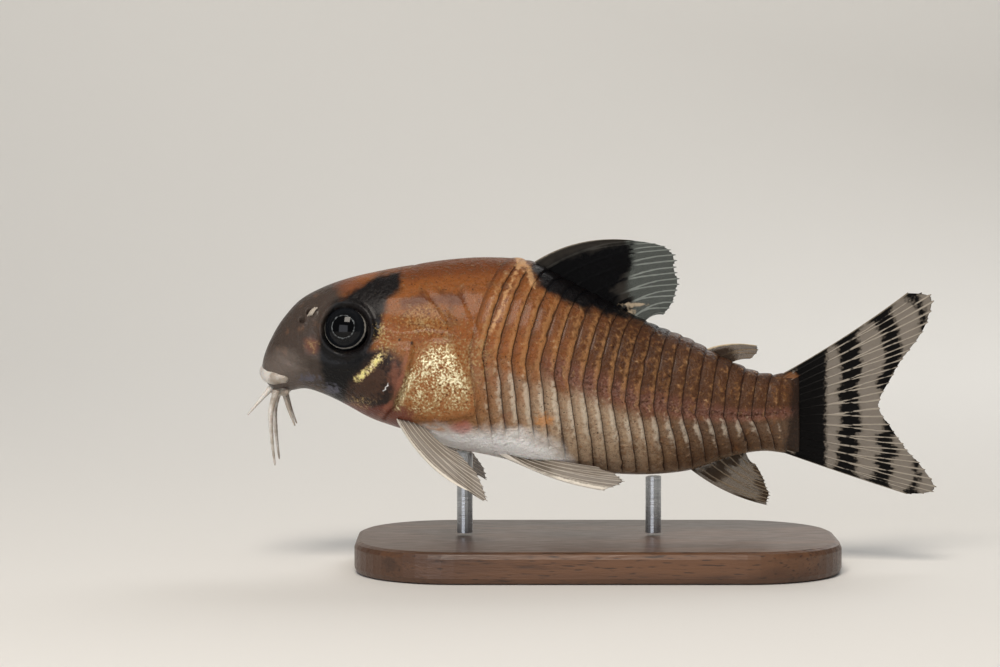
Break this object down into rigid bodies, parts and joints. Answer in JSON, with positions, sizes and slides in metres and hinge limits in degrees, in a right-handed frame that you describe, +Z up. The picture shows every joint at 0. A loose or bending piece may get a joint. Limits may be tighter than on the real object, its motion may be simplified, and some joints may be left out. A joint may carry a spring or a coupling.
{
  "type": "masked corydoras catfish model on a stand",
  "caption": "Life-size still model of a small armoured catfish with barbels, plated sides and banded fins, held swimming above a flat base.",
  "frame": {"origin": "middle of the stand base's underside", "axes": "+X towards the fish's tail, +Y towards its right side, +Z up"},
  "size_m": [0.0655, 0.026, 0.0313],
  "materials": {
    "head_skin": "wet, semi-gloss skin with a black mask and metallic flecks",
    "plated_skin": "wet, semi-gloss bony plates, coppery above and white below",
    "dark_fin": "black fin membrane with a clear edge",
    "banded_fin": "clear fin membrane with black bands",
    "clear_fin": "thin clear fin membrane between pale rays",
    "barbel_flesh": "soft pale flesh",
    "eye": "clear wet cornea over a black eye",
    "base_wood": "dark oiled walnut, satin",
    "rod_steel": "brushed"
  },
  "bodies": {
    "root": {"head": "head_skin", "trunk": "plated_skin", "tail": "plated_skin", "dorsal_fin": "dark_fin", "adipose_fin": "clear_fin", "anal_fin": "clear_fin", "caudal_fin_upper": "banded_fin", "caudal_fin_lower": "banded_fin", "pectoral_fin_left": "clear_fin", "pectoral_fin_right": "clear_fin", "pelvic_fin_left": "clear_fin", "pelvic_fin_right": "clear_fin", "eye_left": "eye", "eye_right": "eye", "barbel_upper_left": "barbel_flesh", "barbel_upper_right": "barbel_flesh", "barbel_front_left": "barbel_flesh", "barbel_front_right": "barbel_flesh", "barbel_lower_left": "barbel_flesh", "barbel_lower_right": "barbel_flesh", "stand_base": "base_wood", "stand_rod_1": "rod_steel", "stand_rod_2": "rod_steel"}
  },
  "joints": []
}
